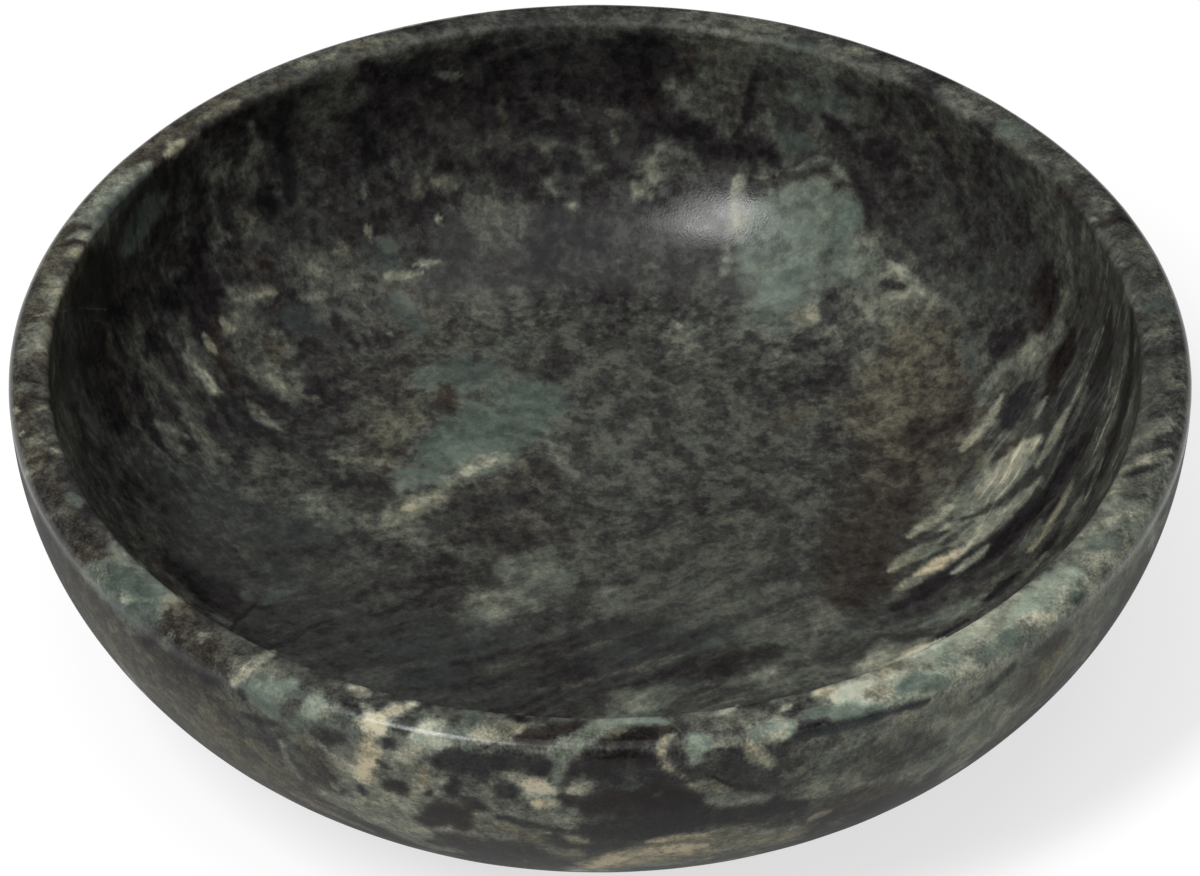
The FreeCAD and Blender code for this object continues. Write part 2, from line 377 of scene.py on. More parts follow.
FRONT_RIGHT_RIM = (
    (BRIGHT, TEAL, 1.7, 1002, 624, 1030, 602, 1052, 586, 1076, 572),
    (GREY, TEAL, 0.7, 1070, 600, 1080, 594),
    (BRIGHT, SLATE, 1.1, 946, 650, 974, 633, 1002, 616),
    (LIGHT, SLATE, 0.8, 1000, 612, 1016, 602),
    (BRIGHT, PLAIN, 0.8, 1018, 621, 1054, 616),
    (PALE, TEAL, 1.0, 980, 660, 998, 647, 1014, 632),
    (PALE, SLATE, 0.9, 940, 664, 962, 652),
    (CREAM, OLIVE, 0.5, 898, 660, 920, 649, 944, 638),
    (LIGHT, OLIVE, 0.9, 866, 678, 908, 662),
    (GREY, PLAIN, 0.5, 924, 664, 932, 670),
    (PALE, TEAL, 1.0, 898, 690, 922, 680, 948, 682),
    (ASHEN, TEAL, 0.6, 924, 690, 930, 686),
    (LIGHT, OLIVE, 1.1, 868, 694, 890, 690),
    (BRIGHT, OLIVE, 0.7, 816, 694, 834, 688),
    (PALE, TEAL, 0.9, 800, 716, 828, 711, 858, 714, 884, 711),
    (MURKY, TEAL, 0.6, 788, 739, 820, 732, 852, 724, 884, 715, 912, 706),
    (DARK, SLATE, 0.6, 910, 707, 928, 701),
    # Painted highlight: a short glint on the rim's right front edge.
    (BRIGHT, SLATE, 0.4, 884, 706, 918, 693),
    (LIGHT, OLIVE, 0.8, 906, 713, 916, 720, 923, 729),
    (DIM, PLAIN, 0.9, 988, 692, 1012, 667),
    (ASHEN, PLAIN, 1.2, 950, 712, 976, 700),
    (GREY, PLAIN, 3.0, 850, 764, 930, 748),
    (DIM, BROWN, 1.3, 850, 808, 880, 794, 908, 784),
    (ASHEN, BROWN, 2.6, 1020, 694, 1060, 650),
    (GREY, OLIVE, 1.6, 1040, 650, 1064, 636),
    (GREY, BROWN, 1.1, 1010, 722, 1050, 682, 1088, 640),
)
FRONT_LEFT_RIM = (
    (DIM, BROWN, 1.3, 72, 552, 96, 556),
    (ASHEN, SLATE, 1.0, 114, 544, 128, 566),
    (PALE, TEAL, 0.7, 140, 563, 160, 586),
    (ASHEN, SLATE, 1.3, 84, 576, 106, 574),
    (PALE, SLATE, 0.6, 100, 598, 120, 595, 138, 601, 179, 597),
    (LIGHT, SLATE, 0.5, 122, 600, 136, 603),
    (GREY, TEAL, 1.3, 126, 613, 150, 613, 138, 628),
    (PALE, OLIVE, 0.4, 164, 608, 171, 600, 181, 598),
    (DIM, BROWN, 1.1, 166, 614, 186, 610, 208, 618),
    (PALE, PLAIN, 0.4, 199, 635, 204, 633),
    (ASHEN, SLATE, 0.9, 165, 648, 170, 637),
    (BLACK, PLAIN, 0.5, 144, 644, 155, 640),
    (MURKY, BROWN, 1.5, 184, 654, 206, 656, 212, 644),
    (DARK, PLAIN, 0.9, 178, 665, 200, 675, 218, 681),
    (LIGHT, OLIVE, 0.6, 232, 684, 258, 662, 273, 652),
    (PALE, TEAL, 1.2, 254, 690, 272, 692, 292, 682),
    (BLACK, PLAIN, 0.55, 241, 690, 243, 700),
    (DARK, PLAIN, 0.7, 244, 714, 260, 721, 277, 724),
    (LIGHT, TEAL, 0.95, 302, 715, 326, 702),
    (DIM, PLAIN, 0.9, 284, 712, 296, 704),
)
FRONT_BELLY = (
    (MURKY, PLAIN, 0.8, 330, 702, 344, 690),
    (LIGHT, OLIVE, 0.9, 352, 688, 367, 694),
    (DARK, PLAIN, 0.8, 345, 706, 358, 711),
    (ASHEN, SLATE, 1.0, 326, 714, 352, 720),
    (MURKY, SLATE, 1.4, 314, 734, 338, 738),
    (DIM, BROWN, 2.1, 306, 746, 318, 762, 324, 780),
    (PALE, PLAIN, 0.6, 281, 742, 288, 764, 301, 779),
    (LIGHT, OLIVE, 0.5, 332, 784, 338, 791),
    (DIM, PLAIN, 0.6, 316, 799, 340, 808, 358, 817),
    (ASHEN, BROWN, 1.2, 296, 796, 330, 813, 370, 830),
    (CREAM, OLIVE, 1.0, 384, 712, 414, 704),
    (1.0, OLIVE, 1.9, 368, 727, 382, 717),
    (0.92, BROWN, 1.5, 370, 738, 366, 766, 362, 779),
    (PALE, OLIVE, 0.8, 374, 770, 386, 777),
    (DARK, PLAIN, 0.9, 384, 740, 392, 746),
    (MURKY, PLAIN, 0.6, 379, 762, 388, 768),
    (MURKY, SLATE, 1.0, 397, 726, 415, 721),
    # These two: a pale patch of stone, brightened further by a painted highlight where the rim's front edge
    # glints.
    (BRIGHT, SLATE, 1.4, 410, 746, 446, 745),
    (CREAM, SLATE, 1.3, 415, 738, 441, 724),
    (BRIGHT, OLIVE, 1.1, 398, 757, 420, 751),
    (LIGHT, BROWN, 0.7, 425, 766, 422, 787),
    (DARK, BROWN, 1.6, 391, 787, 402, 786),
    # Painted reflection: the dark band on the belly just under the rim's glint.
    (DARK, PLAIN, 1.4, 440, 764, 452, 760, 468, 758),
    (DARK, PLAIN, 0.6, 426, 795, 431, 792),
    (DARK, PLAIN, 0.8, 455, 780, 452, 797),
    (DARK, PLAIN, 0.5, 360, 786, 365, 795),
    (DARK, BROWN, 2.3, 428, 820, 450, 812, 462, 826),
    (MURKY, BROWN, 1.8, 442, 836, 472, 842),
    (DARK, PLAIN, 1.2, 466, 800, 480, 807),
    (PALE, OLIVE, 0.9, 390, 832, 420, 843, 452, 851),
    (ASHEN, TEAL, 1.1, 466, 712, 480, 717),
    (LIGHT, OLIVE, 1.4, 476, 736, 497, 731, 518, 728),
    (DARK, PLAIN, 0.7, 511, 716, 525, 720),
    (DARK, BROWN, 1.4, 524, 742, 548, 733, 580, 726),
    (DARK, BROWN, 1.3, 604, 742, 640, 736, 671, 730),
    (GREY, BROWN, 0.6, 606, 734, 622, 732),
    (LIGHT, TEAL, 0.8, 604, 721, 630, 718, 664, 721),
    # Painted reflection: the dark band under the rim's glint, running on to the right.
    (DARK, PLAIN, 1.0, 474, 761, 504, 761, 538, 760),
    (BLACK, PLAIN, 1.0, 506, 765, 532, 769, 551, 764),
    (BLACK, BROWN, 1.5, 570, 770, 592, 765, 624, 762, 654, 762),
    (PALE, SLATE, 1.1, 552, 754, 562, 746, 592, 732, 606, 721),
    (PALE, SLATE, 0.7, 566, 752, 556, 781),
    (LIGHT, OLIVE, 1.1, 503, 776, 520, 778, 534, 784),
    (DARK, SLATE, 1.3, 501, 787, 513, 793),
    (LIGHT, SLATE, 1.7, 530, 796, 546, 800, 552, 811),
    (CREAM, OLIVE, 1.2, 524, 783, 547, 790),
    (CREAM, BROWN, 0.8, 534, 804, 555, 804),
    (PALE, SLATE, 1.3, 518, 815, 545, 819, 571, 812),
    (LIGHT, OLIVE, 1.1, 573, 791, 591, 784),
    (DARK, BROWN, 0.8, 563, 797, 572, 803),
    (BLACK, BROWN, 2.4, 598, 804, 646, 796, 690, 806),
    (DARK, PLAIN, 2.2, 592, 830, 640, 828, 700, 820),
    (DIM, OLIVE, 0.8, 628, 766, 632, 780),
    (DIM, SLATE, 0.7, 620, 787, 637, 784),
    (GREY, PLAIN, 0.4, 656, 795, 659, 794),
    (MURKY, PLAIN, 0.7, 498, 816, 530, 825, 562, 831),
    (ASHEN, BROWN, 0.8, 477, 820, 505, 829, 530, 839, 553, 849, 582, 857),
    (MURKY, PLAIN, 0.8, 490, 843, 530, 857, 576, 866),
    (PALE, OLIVE, 0.9, 568, 836, 587, 843),
    (LIGHT, BROWN, 2.6, 590, 866, 640, 856, 704, 848),
    (CREAM, BROWN, 1.3, 594, 867, 616, 859, 650, 852, 704, 846),
    (BRIGHT, BROWN, 0.8, 650, 841, 704, 834),
    (PALE, SLATE, 0.8, 620, 868, 664, 864, 712, 858),
    (PALE, OLIVE, 1.2, 700, 840, 742, 836, 792, 828),
    (LIGHT, BROWN, 0.6, 706, 849, 730, 835, 746, 832),
    (ASHEN, OLIVE, 0.9, 720, 853, 760, 847, 802, 838),
    (DIM, PLAIN, 1.0, 680, 728, 684, 746),
    (LIGHT, BROWN, 0.5, 673, 735, 662, 744, 663, 758, 670, 769, 686, 778),
    (DARK, PLAIN, 0.9, 673, 752, 695, 772),
    (LIGHT, TEAL, 1.4, 692, 737, 700, 748, 694, 761),
    (PALE, OLIVE, 0.9, 688, 785, 712, 787, 727, 791),
    (PALE, SLATE, 1.3, 711, 800, 740, 801, 766, 798),
    (LIGHT, PLAIN, 0.5, 713, 716, 737, 706),
    (CREAM, PLAIN, 0.35, 749, 728, 751, 728),
    (LIGHT, TEAL, 1.4, 752, 738, 768, 730, 788, 727),
    (BRIGHT, SLATE, 0.7, 764, 737, 781, 737, 787, 728),
    (LIGHT, PLAIN, 0.5, 782, 710, 791, 704),
    (LIGHT, PLAIN, 0.8, 716, 744, 745, 742),
    (MURKY, PLAIN, 0.7, 707, 755, 731, 752),
    (BRIGHT, OLIVE, 1.3, 750, 750, 760, 758, 767, 767),
    (MURKY, PLAIN, 0.8, 782, 765, 801, 762),
    (PALE, PLAIN, 0.55, 779, 777, 808, 771),
    (DIM, SLATE, 1.3, 736, 769, 782, 787),
    (DARK, PLAIN, 1.3, 704, 814, 750, 814, 802, 805),
    (DIM, BROWN, 1.6, 836, 802, 870, 795, 902, 789),
    (LIGHT, BROWN, 0.9, 811, 819, 828, 812),
)
HOLLOW_FLOOR = (
    (GREY, TEAL, 1.8, 394, 298, 420, 330),
    (PALE, PLAIN, 0.5, 387, 332, 391, 334),
    (GREY, OLIVE, 2.2, 378, 432, 420, 420),
    (MURKY, BROWN, 1.5, 446, 388, 450, 412),
    (MURKY, PLAIN, 1.8, 336, 490, 378, 490, 360, 508),
    (ASHEN, OLIVE, 0.6, 330, 458, 380, 463, 422, 466),
    (PALE, SLATE, 1.9, 446, 481, 470, 470, 504, 458),
    (BRIGHT, PLAIN, 0.8, 454, 476, 492, 461),
    (PALE, OLIVE, 1.9, 392, 517, 416, 504, 446, 493),
    (BRIGHT, OLIVE, 0.8, 402, 510, 432, 497),
    (MURKY, PLAIN, 1.8, 430, 524, 480, 507, 530, 492),
    (GREY, OLIVE, 1.0, 474, 491, 502, 479),
    (MURKY, PLAIN, 1.8, 520, 366, 560, 372),
    (DIM, OLIVE, 2.4, 780, 420, 830, 400),
    (DIM, OLIVE, 0.6, 470, 676, 540, 660, 610, 642),
    (DIM, OLIVE, 0.6, 540, 690, 610, 676, 680, 656),
    (DARK, PLAIN, 0.8, 450, 664, 520, 652, 580, 636),
    (DARK, PLAIN, 0.8, 600, 690, 660, 676, 720, 650),
    (DARK, OLIVE, 2.4, 690, 672, 730, 662, 770, 652),
)
PATCHES = (
    LEFT_RIM + LEFT_WALL + BACK_LEFT_RIM + BACK_LEFT_WALL + BACK_WALL + BACK_RIGHT_WALL
    + BACK_RIGHT_RIM + RIGHT_RIM + RIGHT_WALL + FRONT_RIGHT_RIM + FRONT_LEFT_RIM + FRONT_BELLY + HOLLOW_FLOOR
)

# Thin veins: the tone that each adds, its half-width in millimetres, and pixels as above
VEINS = {
    "left_rim_crack": (0.30, 0.10, 22, 320, 36, 316, 52, 312),
    "left_wall_crack": (0.20, 0.06, 56, 311, 86, 308, 116, 309),
    "left_rim_line": (-0.30, 0.14, 10, 378, 28, 380, 45, 384),
    "left_wall_vein": (0.14, 0.20, 204, 303, 250, 297, 276, 291),
    "right_wall_line": (0.36, 0.14, 1126, 346, 1118, 392, 1104, 430, 1090, 462),
    "right_wall_hair": (0.32, 0.12, 1114, 366, 1106, 402, 1092, 440),
    "right_wall_low_line": (0.32, 0.14, 1108, 446, 1096, 478, 1082, 506),
    "right_wall_edge": (0.36, 0.12, 1112, 300, 1100, 340, 1084, 382),
    "right_lip_line": (0.30, 0.10, 1134, 436, 1118, 462, 1110, 480),
    "teal_edge": (0.16, 0.14, 736, 173, 762, 177, 800, 168, 828, 158),
    "front_left_crack": (-0.14, 0.16, 228, 630, 242, 616, 262, 598),
    "front_line": (-0.28, 0.14, 712, 775, 724, 782, 735, 788),
}

# How the markings are laid on
PIXEL_STEP = 5  # spacing of the sight lines along a marking
SAME_SIDE = -0.1  # least cosine between a vertex's normal and the line's own
REACH_WIDTHS = 2  # a marking is sought out to this many of its half-widths
RAGGED_LENGTH = 2.5 * MM
RAGGED_FRACTAL = (0.6, 2.0, 3)  # falloff, spacing and number of the octaves
RAGGED_SHARE = 0.50  # the edge of a marking wanders by this share of its half-width
RAGGED_REACH = 0.9 * MM  # and by no more than about this
SOFT_SHARE = 0.55  # a marking fades over this share of its half-width, in and out
PATCH_SOFTNESS = 0.9 * MM  # and over no more than this
WASH_SOFTNESS = 4.0 * MM
TAPER_SHARE = 0.55  # of its half-width that a marking has at its ends
BARE_TONE = 0.30  # of stone with no marking on it
VEIN_REACH = 1.6 * MM
VEIN_FADE_SHARE = 1 / 3  # a vein fades over this share of its reach
VEIN_END_POWER = 6  # how suddenly a vein fades at its ends

# The stone's layers stand upright, turned this far from the dish's side, and streak the hollow's side walls
LAYER_TURN = math.radians(-40)
FLOOR_LAYER_TURN = math.radians(26)  # on the hollow's floor the streaks run this far from straight across
STREAK_STRETCH = 9.0  # how many times longer than wide the streaks are
FLOOR_STREAK_STRETCH = 5.0

# Noises in the stone: size of the features, detail and roughness
MIDDLE = 0.5  # of a noise, and of a colour ramp
FOLD_SIZE = 30 * MM
FOLD_DETAIL = 3.0
FOLD_REACH = 12 * MM  # the noises bend by up to about half of this
ISLAND_NOISE = (9 * MM, 5.0, 0.6)
RIDGE_NOISE = (11 * MM, 4.0, 0.5)
DRIFT_NOISE = (16 * MM, 3.0, 0.55)
STREAK_NOISE = (0.9 * MM, 3.0, 0.55)
BED_NOISE = (2.0 * MM, 5.0, 0.65)
CLOUD_NOISE = (3.6 * MM, 6.0, 0.65)
MOTTLE_NOISE = (1.3 * MM, 4.0, 0.6)
FLECK_NOISE = (0.6 * MM, 2.0, 0.5)
GRAIN_NOISE = (0.3 * MM, 1.0, 0.5)
HUE_NOISE = (12 * MM, 3.0, 0.5)
HUE_SPOT_NOISE = (3 * MM, 2.0, 0.5)
BARE_HUE_NOISE = (19 * MM, 2.0, 0.5)

# What the noises are carried to: their low and high, and the tone or share there, 0 and 1 if not given
ISLAND_SPAN = (0.0, 0.18, -0.08, 0.37)
RIDGE_SPAN = (0.022, 0.0)
PALE_STREAK_SPAN = (0.04, 0.18, 0.0, 0.18)
DARK_STREAK_SPAN = (-0.02, -0.15, 0.0, -0.10)
BED_SPAN = (-0.16, 0.20, -0.07, 0.12)
PATCH_SPAN = (-0.09, 0.09, -0.5, 0.5)
SPOT_SPAN = (-0.10, 0.10, -0.5, 0.5)
TEAL_SPAN = (0.0, 1.2)
BROWN_SPAN = (0.0, -1.2)
LIVELY_SPAN = (0.0, 0.6, 0.7, 1.3)  # pale stone is livelier than dark
VEIN_SPAN = (2.6, 0.3)  # counted in the vein's half-widths
VEIN_BREAK_SPAN = (-0.2, 0.12)

# Where they show: heights, distances to the right (x) and to the back (y) over which they fade in
ROUGH_RIM_SPAN = (rim_z - 5 * MM, rim_z - 1 * MM)
LAND_SPAN = (rim_z - 1.5 * MM, rim_z - 0.5 * MM)
HONED_SPAN = (rim_z - 1.2 * MM, rim_z - 3.4 * MM)
GROUND_SPAN = (base_z + 0.9 * MM, base_z + 0.1 * MM)
BED_HEIGHT_SPAN = (base_z + 18 * MM, base_z + 9 * MM)
BED_DEPTH_SPAN = (16 * MM, -24 * MM)
RIGHT_WALL_SPAN = (34 * MM, 50 * MM)
RIGHT_BACK_SPAN = (30 * MM, 6 * MM)
RIGHT_FRONT_SPAN = (-24 * MM, -6 * MM)
LEFT_WALL_SPAN = (-34 * MM, -50 * MM)

# How much of each shows
RIDGE_SHARE = 0.10
PATCH_SHARE = 0.15
SPOT_SHARE = 0.12
FLECK_SHARE = 0.16
GRAIN_SHARE = 0.26
DRIFT_SHARE = 0.8
LEFT_STREAK_SHARE = 0.5
HUE_SHARE = 1.2
HUE_SPOT_SHARE = 1.0
BARE_HUE_SHARE = 2.8
ROUGH_RIM_SHARE = 0.35  # more grain on the rim
VEIN_CLOUD_SHIFT = 1.0  # millimetres that a vein moves aside where the noise is 1
VEIN_MOTTLE_SHIFT = 0.6
COVERED_LOSS_SHARE = 0.75  # less drift on painted stone
HOLLOW_GRAIN_LOSS_SHARE = 0.6  # less grain, and fewer islands, in the polished hollow
HOLLOW_BARE_LOSS_SHARE = 0.5
STREAKED_LOSS_SHARE = 0.5  # weaker patches and spots among streaks
TEAL_LOSS_SHARE = 0.5  # a weaker texture in teal stone

# Stone colours along the tone, from 0 to 255, the tints of the hues, and the surface
STONE_COLOURS = (
    (0.00, (19, 17, 18)),
    (0.13, (36, 34, 34)),
    (0.27, (55, 55, 52)),
    (0.42, (79, 81, 73)),
    (0.60, (107, 109, 97)),
    (0.80, (145, 144, 127)),
    (1.00, (182, 178, 157)),
)
TEAL_TINT = (0.83, 0.99, 1.03, 1)
BROWN_TINT = (1.06, 0.95, 0.84, 1)
GROUND_DUST = (128, 130, 122)
GROUND_DUST_SHARE = 0.22
POLISH_ROUGHNESS = 0.23
LAND_ROUGHNESS = 0.35  # added, as the next ones are
HONED_ROUGHNESS = 0.40
GROUND_ROUGHNESS = 0.20
MOTTLE_ROUGHNESS = 0.30
CLOUD_ROUGHNESS = 0.35
STONE_SPECULAR = 0.16
GRAIN_RELIEF = 0.01 * MM

# Clear silicone of the feet
HAZE_NOISE = (3 * MM, 3.0, 0.55)
HAZE_SHARE = 1.2
HAZE_RELIEF = 0.05 * MM
DUST_NOISE = (0.35 * MM, 2.0, 0.6)
DUST_SPAN = (0.12, 0.24)
DUST_SHARE = 0.5
SILICONE_COLOURS = ((0.2, (196, 201, 199)), (0.8, (226, 228, 224)))
DUST_COLOUR = (168, 166, 158)
SILICONE_ROUGHNESS = 0.28
HAZE_ROUGHNESS = 0.3
DUST_ROUGHNESS = 0.3
SILICONE_CLEAR_SHARE = 0.45
SILICONE_IOR = 1.41

# Adhesive film
GLUE_NOISE = (1.2 * MM, 4.0, 0.6)
GLUE_SHARE = 1.4
BUBBLE_SPACING = 0.7 * MM
BUBBLE_SPAN = (0.28, 0.16)
BUBBLE_SHARE = 0.6
BUBBLE_RELIEF = 0.03 * MM
FILM_COLOURS = ((0.2, (198, 192, 174)), (0.8, (226, 223, 212)))
BUBBLE_COLOUR = (240, 240, 236)
FILM_ROUGHNESS = 0.5
GLUE_ROUGHNESS = 0.4
FILM_CLEAR_SHARE = 0.2
FILM_IOR = 1.47

# Studio: azimuth and elevation in degrees, distance, width and height in metres, power in watts
LAMPS = {
    "key": (-40, 56, 0.9, 0.13, 0.37, 5.6),
    "overhead": (0, 82, 1.0, 0.90, 0.90, 4.4),
}
SURROUND_STRENGTH = 0.18
WHITE = (1, 1, 1, 1)
FLOOR_SIZE = 8.0
FLOOR_GAP = 0.02 * MM  # the floor lies this far below the soles
FLOOR_SEEN = (0.33, 0.33, 0.33, 1)  # its colour to the camera and in reflections, to which it adds a glow
FLOOR_GLOW = 0.70
FLOOR_BOUNCE = (0.66, 0.66, 0.66, 1)  # its colour in the light that it casts back on the dish


def srgb(red, green, blue):
    """A screen colour, each channel from 0 to 255, as a linear colour."""
    def linear(value):
        share = value / 255
        return share / 12.92 if share <= 0.04045 else ((share + 0.055) / 1.055) ** 2.4
    return linear(red), linear(green), linear(blue), 1.0


def on_arc(centre, radius, angle):
    """The profile point (r, z) of an arc at an angle, counted up from the outward direction."""
    return centre[0] + radius * math.cos(angle), centre[1] + radius * math.sin(angle)


def arc(centre, radius, start, end, spacing):
    """Points along an arc, without its last one."""
    count = max(2, round(abs(end - start) * radius / spacing))
    return [on_arc(centre, radius, start + (end - start) * step / count) for step in range(count)]


def line(start, end, spacing):
    """Points along a straight stretch, without its last one."""
    count = max(1, round(math.dist(start, end) / spacing))
    shares = [step / count for step in range(count)]
    return [tuple(np.interp(share, (0, 1), pair) for pair in zip(start, end)) for share in shares]


def bowl_profile():
    """Half-profile from the middle of the base, round the belly and rim, to the middle of the floor.

    Returns its points (r, z), and at each the share that it belongs to the hollow: 0 outside, 1 inside.
    """
    widest_z = rim_z - BELLY_DROP
    belly_radius = widest_z - base_z + BASE_GRIND
    belly = (rim_radius - belly_radius, widest_z)
    mouth_radius = rim_radius - RIM_WIDTH
    floor_z = base_z + FLOOR_THICKNESS
    wall_radius = widest_z - floor_z - FLOOR_DISH
    wall = (mouth_radius - wall_radius, widest_z)

    def rounding(radius, z):
        reach = math.sqrt((belly_radius - radius) ** 2 - (z - widest_z) ** 2)
        return belly[0] + reach, z

    def angle_from(start, end):
        return math.atan2(end[1] - start[1], end[0] - start[0])

    base_round = rounding(BASE_EDGE_RADIUS, base_z + BASE_EDGE_RADIUS)
    rim_round = rounding(RIM_OUTER_RADIUS, rim_z - RIM_OUTER_RADIUS)
    lip = (mouth_radius + RIM_INNER_RADIUS, rim_z - RIM_INNER_RADIUS)
    floor_radius = (wall[0] ** 2 + (widest_z - floor_z) ** 2 - wall_radius ** 2) / (2 * FLOOR_DISH)
    floor_centre = (0.0, floor_z + floor_radius)
    base_angle = angle_from(belly, base_round)
    rim_angle = angle_from(belly, rim_round)
    floor_angle = angle_from(floor_centre, wall)
    down, outward, upward, inward = -math.pi / 2, 0.0, math.pi / 2, math.pi

    outside = line((0.0, base_z), on_arc(base_round, BASE_EDGE_RADIUS, down), RING_SPACING)
    outside += arc(base_round, BASE_EDGE_RADIUS, down, base_angle, RING_SPACING)
    outside += arc(belly, belly_radius, base_angle, rim_angle, RING_SPACING)
    outside += arc(rim_round, RIM_OUTER_RADIUS, rim_angle, upward, EDGE_RING_SPACING)
    land_start = on_arc(rim_round, RIM_OUTER_RADIUS, upward)
    land = line(land_start, on_arc(lip, RIM_INNER_RADIUS, upward), RING_SPACING)
    inside = arc(lip, RIM_INNER_RADIUS, upward, inward, EDGE_RING_SPACING)
    inside += line(on_arc(lip, RIM_INNER_RADIUS, inward), on_arc(wall, wall_radius, outward), RING_SPACING)
    inside += arc(wall, wall_radius, outward, floor_angle, RING_SPACING)
    inside += arc(floor_centre, floor_radius, floor_angle, down, RING_SPACING)
    inside.append(on_arc(floor_centre, floor_radius, down))
    shares = [0.0] * len(outside) + list(np.linspace(0, 1, len(land))) + [1.0] * len(inside)
    return outside + land + inside, shares


def hand_finish(place):
    """How far the hand-finished surface stands off the turned one at a place."""
    wave = noise.noise(place / WAVE_LENGTH)
    ripple = noise.noise(place / RIPPLE_LENGTH)
    return WAVE_DEPTH * wave + RIPPLE_DEPTH * ripple


def keep(mesh, name, values):
    """Stores one number at each vertex, for the material to read."""
    mesh.attributes.new(name, "FLOAT", "POINT").data.foreach_set("value", np.asarray(values, np.float32))


def turned_mesh(name, profile, shares):
    """A closed mesh: the profile turned about the Z axis, its first and last points as single vertices.

    The vertex attribute "hollow" keeps each point's share of the hollow.
    """
    turns = [math.tau * sector / SECTORS for sector in range(SECTORS)]
    spokes = [Vector((math.cos(turn), math.sin(turn), 0)) for turn in turns]
    up = Vector((0, 0, 1))
    vertices = [up * profile[0][1]]
    for index in range(1, len(profile) - 1):
        (before_r, before_z), (r, z), (after_r, after_z) = profile[index - 1:index + 2]
        slope = math.atan2(after_z - before_z, after_r - before_r)
        for spoke in spokes:
            place = spoke * r + up * z + HOLLOW_RUNOUT * shares[index]
            normal = spoke * math.sin(slope) - up * math.cos(slope)
            vertices.append(place + normal * hand_finish(place))
    vertices.append(up * profile[-1][1] + HOLLOW_RUNOUT)

    rings = len(profile) - 2
    last = len(vertices) - 1
    faces = []
    for sector in range(SECTORS):
        beside = (sector + 1) % SECTORS
        faces.append((0, 1 + beside, 1 + sector))
        for ring in range(rings - 1):
            low, high = 1 + ring * SECTORS, 1 + (ring + 1) * SECTORS
            faces.append((low + sector, low + beside, high + beside, high + sector))
        end = 1 + (rings - 1) * SECTORS
        faces.append((last, end + sector, end + beside))
    mesh = bpy.data.meshes.new(name)
    mesh.from_pydata(vertices, [], faces)
    mesh.shade_smooth()
    keep(mesh, "hollow", np.concatenate([shares[:1], np.repeat(shares[1:-1], SECTORS), shares[-1:]]))
    return mesh


def smooth_line(pixels):
    """Photograph pixels along a smooth curve through the given ones, a few pixels apart."""
    given = np.array(pixels, float).reshape(-1, 2)
    padded = np.vstack([2 * given[0] - given[1], given, 2 * given[-1] - given[-2]])
    curve = []
    for before, start, end, after in zip(padded, padded[1:], padded[2:], padded[3:]):
        count = max(2, round(np.linalg.norm(end - start) / PIXEL_STEP))
        step = np.linspace(0, 1, count, endpoint=False)[:, None]
        bend = 2 * before - 5 * start + 4 * end - after
        swing = 3 * start - before - 3 * end + after
        curve.append(start + 0.5 * ((end - before) * step + bend * step ** 2 + swing * step ** 3))
    return np.vstack(curve + [given[-1:]])


